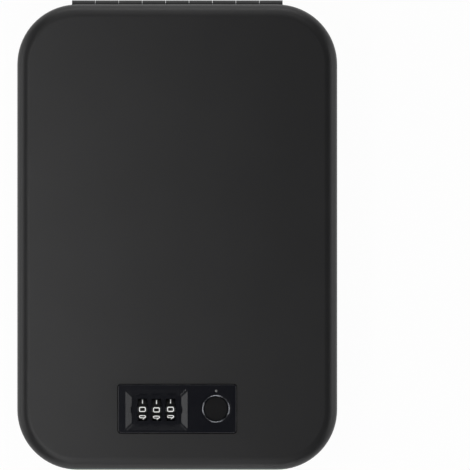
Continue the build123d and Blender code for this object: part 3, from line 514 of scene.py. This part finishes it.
def stroke_section(line, closed):
    """A flat stroke: at each point of the line, its left and right edge, sunk and raised.

    The edge stands half a width along the normal, which is the line's direction turned a quarter.
    """
    if closed:
        along = np.roll(line, -1, axis=0) - np.roll(line, 1, axis=0)
    else:
        along = np.gradient(line, axis=0)
    along /= np.linalg.norm(along, axis=1, keepdims=True)
    normal = np.stack([-along[:, 1], along[:, 0]], axis=1) * DIGIT_STROKE / 2
    left, right = line + normal, line - normal
    edges = np.stack([left, left, right, right], axis=1)
    height = np.broadcast_to([-DIGIT_SUNK, DIGIT_PROUD, DIGIT_PROUD, -DIGIT_SUNK], edges.shape[:2])
    return np.concatenate([edges, height[..., None]], axis=2)


def wrap_on_wheel(points, centre, turn):
    """Bend (across, up, out) points onto the wheel: up becomes an arc round its axis, out its radius."""
    angle = turn + points[..., 1] / WHEEL_RADIUS
    radius = WHEEL_RADIUS + points[..., 2]
    return centre + np.stack([points[..., 0], radius * np.sin(angle), radius * np.cos(angle)], axis=-1)


def wheel_digits(number):
    """Make all ten digits of one wheel, a tenth of a turn apart, with 0 at the top and 1 behind it."""
    low, high = np.array(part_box(f"number_wheel_{number}"))
    centre = (low + high) / 2
    centre[2] = high[2] - WHEEL_RADIUS
    half = np.array([DIGIT_HALF_WIDTH, DIGIT_HALF_HEIGHT])
    surfaces = []
    for digit, strokes in DIGITS.items():
        turn = digit * WHEEL_STEP + DIGIT_TURN[number]
        for corners, closed in strokes:
            line = refine(rounded_line(np.array(corners) * half, closed), closed)
            points = wrap_on_wheel(stroke_section(line, closed), centre, turn)
            surfaces.append(grid_surface(points, wrap_u=closed, wrap_v=True, caps=not closed))
    return make_mesh(f"digits_{number}", surfaces)


for number in (1, 2, 3):
    digits = wheel_digits(number)
    place_piece(f"digits_{number}", digits, enamel, f"wheel_{number}", smooth=False)


def pad_box(liner):
    """The lowest and highest corner of a foam pad, whose sides stand a gap inside its solid's."""
    low, high = np.array(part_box(liner))
    gap = FOAM_GAP * np.array([1, 1, 0])
    return low + gap, high - gap


def edge_drop(distance):
    """How far the foam's face falls near its cut edge: a quarter circle of the edge's radius."""
    inward = np.clip(distance / FOAM_EDGE, 0, 1)
    return FOAM_EDGE * (1 - np.sqrt(1 - (1 - inward) ** 2))


def eased(count):
    """Numbers from -1 to 1, closer together towards both ends: a power of the distance to the end."""
    even = np.linspace(-1, 1, count)
    return np.sign(even) * (1 - (1 - np.abs(even)) ** EASE_POWER)


def half_width(y, half):
    """Half the width of a rounded rectangle at each y: less where a corner's circle draws it in."""
    into = np.clip(np.abs(y) - (half[1] - FOAM_CORNER), 0, FOAM_CORNER)
    return half[0] - FOAM_CORNER + np.sqrt(FOAM_CORNER**2 - into**2)


def pad_mesh(name, x, y, top, bottom):
    """Close two faces over the same grid by a wall all round, and weld them where they meet."""
    upper = np.stack([x, y, top], axis=-1)
    lower = np.stack([x, y, bottom], axis=-1)
    rim = [
        np.concatenate([face[:, 0], face[-1], face[::-1, -1], face[0, ::-1]]) for face in (lower, upper)
    ]
    surfaces = [
        grid_surface(upper),
        grid_surface(lower[:, ::-1]),
        grid_surface(np.stack(rim, axis=1), wrap_u=True),
    ]
    mesh = make_mesh(name, surfaces)
    weld(mesh)
    return mesh


def tray_foam():
    """The tray's foam: a rounded rectangle on a grid, each row as wide as the outline there.

    Its lower face lies flat and turns up at the edge; its upper face swells a little to the middle,
    as the product of two parabolas.
    """
    low, high = pad_box("base_liner")
    half = (high - low) / 2
    across, along = (eased(count) for count in TRAY_FOAM_GRID)
    u, v = np.meshgrid(across, along, indexing="ij")
    y = v * half[1]
    # The outermost rows are as wide as the outline is just inside them
    width = half_width(np.clip(y, TINY - half[1], half[1] - TINY), half)
    distance = np.minimum((1 - np.abs(u)) * width, (1 - np.abs(v)) * half[1])
    swell = FOAM_SWELL * (1 - u**2) * (1 - v**2)
    top = high[2] - FOAM_SWELL - edge_drop(distance) + swell
    bottom = low[2] + edge_drop(distance)
    return u * width, y, top, bottom


def lid_foam():
    """The lid's foam, U-shaped round the lock: a ruled face from its inner cut edge to its outer edge.

    Rows run along both edges together, from the left front end round the hinge side to the right
    front end, and columns run from the inner edge to the outer one. The lower face swells between
    the edges as a parabola.
    """
    low, high = pad_box("lid_liner")
    half = (high - low)[:2] / 2
    straight = half - FOAM_CORNER

    # The left half of each edge, from its front end to the middle of the hinge side
    turn = np.radians(np.linspace(90, 180, CORNER_POINTS))
    corner = FOAM_CORNER * np.stack([np.cos(turn), np.sin(turn)], axis=1)
    front_corner = corner * (1, -1) - straight
    back_corner = corner[::-1] + straight * (-1, 1)
    outer = np.concatenate([front_corner, back_corner, [(0, half[1])]])
    lock_half = LOCK_CUT_HALF + FOAM_GAP
    lock_back = LOCK_CUT_BACK + FOAM_GAP
    inner = np.array([(-lock_half, -half[1]), (-lock_half, lock_back), (0, lock_back)])

    # The inner corner answers to the middle of the outer one behind it
    outer_reach = length_run(outer)
    inner_reach = np.array([0, outer_reach[-1] - straight[0] - FOAM_CORNER * np.pi / 4, outer_reach[-1]])
    # Extra rows follow the rounded front ends
    front_rows = np.linspace(0, FOAM_EDGE, FRONT_END_ROWS + 1)
    even_rows = np.linspace(0, outer_reach[-1], LID_FOAM_ROWS)
    stops = np.unique(np.concatenate([outer_reach, front_rows, even_rows]))
    inner, outer = points_at(stops, inner_reach, inner), points_at(stops, outer_reach, outer)
    inner, outer = (np.concatenate([edge, (edge * (-1, 1))[-2::-1]]) for edge in (inner, outer))

    across = (eased(LID_FOAM_COLUMNS) + 1) / 2
    share = across[None, :, None]
    flat = inner[:, None] * (1 - share) + outer[:, None] * share
    breadth = np.linalg.norm(outer - inner, axis=1)[:, None]
    to_front = flat[..., 1] + half[1]
    distance = np.minimum(np.minimum(across, 1 - across) * breadth, to_front)
    swell = FOAM_SWELL * 4 * across * (1 - across) * np.clip(distance / SWELL_RUN, 0, 1)
    bottom = low[2] + FOAM_SWELL + edge_drop(distance) - swell
    top = high[2] - edge_drop(distance)
    return flat[..., 0], flat[..., 1], top, bottom


tray_pad = place_piece("tray_foam", pad_mesh("tray_foam", *tray_foam()), foam, "tray")
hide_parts("base_liner")

lid_pad = place_piece("lid_foam", pad_mesh("lid_foam", *lid_foam()), foam, "lid")
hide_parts("lid_liner")


def coil_spring():
    """The button's spring, a wire wound as a helix: its skin, where its lower end stands, its height.

    The wire's middle climbs evenly as it turns round the button's axis. Its skin is a ring at each
    step, spread over the outward direction and the one square to that and to the wire. At each end
    a few rings more, on a half ball, close it.
    """
    low, high = np.array(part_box("button_spring"))
    foot = np.array([*(low + high)[:2] / 2, low[2]])
    height = high[2] - low[2]
    coil_radius = (high[0] - low[0]) / 2 - WIRE_RADIUS
    turn = np.linspace(0, 2 * np.pi * COIL_TURNS, round(RINGS_PER_TURN * COIL_TURNS) + 1)
    climb = (height - 2 * WIRE_RADIUS) / turn[-1]
    outward = np.stack([np.cos(turn), np.sin(turn), np.zeros_like(turn)], axis=1)
    path = foot + coil_radius * outward + np.outer(WIRE_RADIUS + climb * turn, (0, 0, 1))
    # The wire's direction is the slope of its path
    sideways = coil_radius * np.stack([-np.sin(turn), np.cos(turn)], axis=1)
    along = np.concatenate([sideways, np.full((len(turn), 1), climb)], axis=1)
    along /= np.linalg.norm(along, axis=1, keepdims=True)

    ball = np.linspace(0, np.pi / 2, END_RINGS, endpoint=False)
    ahead = WIRE_RADIUS * np.cos(ball)[:, None]
    path = np.concatenate([path[0] - ahead * along[0], path, path[-1] + ahead[::-1] * along[-1]])
    share = np.concatenate([np.sin(ball), np.ones_like(turn), np.sin(ball)[::-1]])
    more_rings = ((END_RINGS, END_RINGS), (0, 0))
    outward, along = (np.pad(ways, more_rings, mode="edge") for ways in (outward, along))
    square = np.cross(along, outward)

    around = np.linspace(0, 2 * np.pi, WIRE_SIDES, endpoint=False)[None, :, None]
    spread = outward[:, None] * np.cos(around) + square[:, None] * np.sin(around)
    skin = path[:, None] + WIRE_RADIUS * share[:, None, None] * spread
    return skin, foot, height


skin, foot, free_height = coil_spring()
coil_mesh = make_mesh("button_coil", [grid_surface(skin, wrap_v=True)])
weld(coil_mesh)
coil = place_piece("button_coil", coil_mesh, spring_steel, "lid")
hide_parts("button_spring")
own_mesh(coil)


def white_floor():
    """Painted studio floor: white to the camera and to mirrors, with the object's shadow kept."""
    made, tree, shader, _ = new_material("studio_floor", Roughness=0.9)
    shader.inputs["Base Color"].default_value = linear("#E8E8E8")
    glow = add_node(tree, "ShaderNodeEmission", {"Color": linear("#FFFFFF"), "Strength": 1.0})
    rays = add_node(tree, "ShaderNodeLightPath").outputs
    seen = rays["Is Camera Ray"]
    for kind in ("Is Glossy Ray", "Is Transmission Ray"):
        seen = add_node(tree, "ShaderNodeMath", {0: seen, 1: rays[kind]}, operation="MAXIMUM").outputs[0]
    share = add_node(tree, "ShaderNodeMath", {0: seen, 1: FLOOR_GLOW}, operation="MULTIPLY")
    mix = add_node(
        tree, "ShaderNodeMixShader", {0: share.outputs[0], 1: shader.outputs[0], 2: glow.outputs[0]}
    )
    tree.links.new(mix.outputs[0], tree.nodes["Material Output"].inputs["Surface"])
    return made


def studio_floor():
    """A flat square just under the case."""
    ends = np.array([-FLOOR_HALF, FLOOR_HALF])
    x, y = np.meshgrid(ends, ends, indexing="ij")
    mesh = make_mesh("floor", [grid_surface(np.stack([x, y, np.full_like(x, FLOOR_LEVEL)], axis=-1))])
    mesh.materials.append(white_floor())
    floor = bpy.data.objects.new("floor", mesh)
    bpy.context.scene.collection.objects.link(floor)
    return floor


floor = studio_floor()
floor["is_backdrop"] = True


def area_lamp(name, place, aim, size, watts):
    """A soft box at a place, turned to face a point; its size is its width and its height."""
    lamp = bpy.data.lights.new(name, "AREA")
    lamp.shape = "RECTANGLE"
    lamp.size, lamp.size_y = size
    lamp.energy = watts
    holder = bpy.data.objects.new(name, lamp)
    bpy.context.scene.collection.objects.link(holder)
    holder.location = place
    holder.rotation_euler = (Vector(aim) - Vector(place)).to_track_quat("-Z", "Y").to_euler()
    holder.visible_camera = False


# The strip overhead draws the lid's soft light on its left; boxes and strips all round light the rims
area_lamp("overhead_strip", (-0.15, -0.43, 0.55), aim=(-0.15, -0.43, 0.0), size=(0.06, 1.2), watts=2.0)
area_lamp("front_box", (0.0, -0.95, 1.2), aim=CASE_MIDDLE, size=(1.4, 0.9), watts=2.3)
area_lamp("front_strip", (0.0, -1.5, 0.26), aim=CASE_MIDDLE, size=(1.4, 0.24), watts=4.5)
area_lamp("hinge_side_box", (0.0, 1.05, 1.15), aim=CASE_MIDDLE, size=(1.4, 0.95), watts=4.8)
area_lamp("hinge_side_strip", (0.0, 1.5, 0.32), aim=CASE_MIDDLE, size=(1.4, 0.24), watts=7.0)
area_lamp("left_box", (-1.5, 0.0, 0.42), aim=CASE_MIDDLE, size=(1.4, 0.75), watts=7.2)
area_lamp("right_box", (1.5, 0.0, 0.42), aim=CASE_MIDDLE, size=(1.4, 0.75), watts=6.8)

world = bpy.data.worlds.new("studio")
bpy.context.scene.world = world
world.use_nodes = True
background = world.node_tree.nodes["Background"]
background.inputs["Color"].default_value = linear("#FFFFFF")
background.inputs["Strength"].default_value = ROOM_LIGHT

camera_data = bpy.data.cameras.new("camera")
camera_data.sensor_width = SENSOR_MM
camera_data.lens = SENSOR_MM * (CAMERA_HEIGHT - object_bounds()[1][2]) / FRAME_WIDTH
camera_data.clip_end = CAMERA_REACH
camera = bpy.data.objects.new("camera", camera_data)
bpy.context.scene.collection.objects.link(camera)
camera.location = (*FRAME_CENTRE, CAMERA_HEIGHT)
bpy.context.scene.camera = camera
bpy.context.scene.view_settings.view_transform = "Standard"
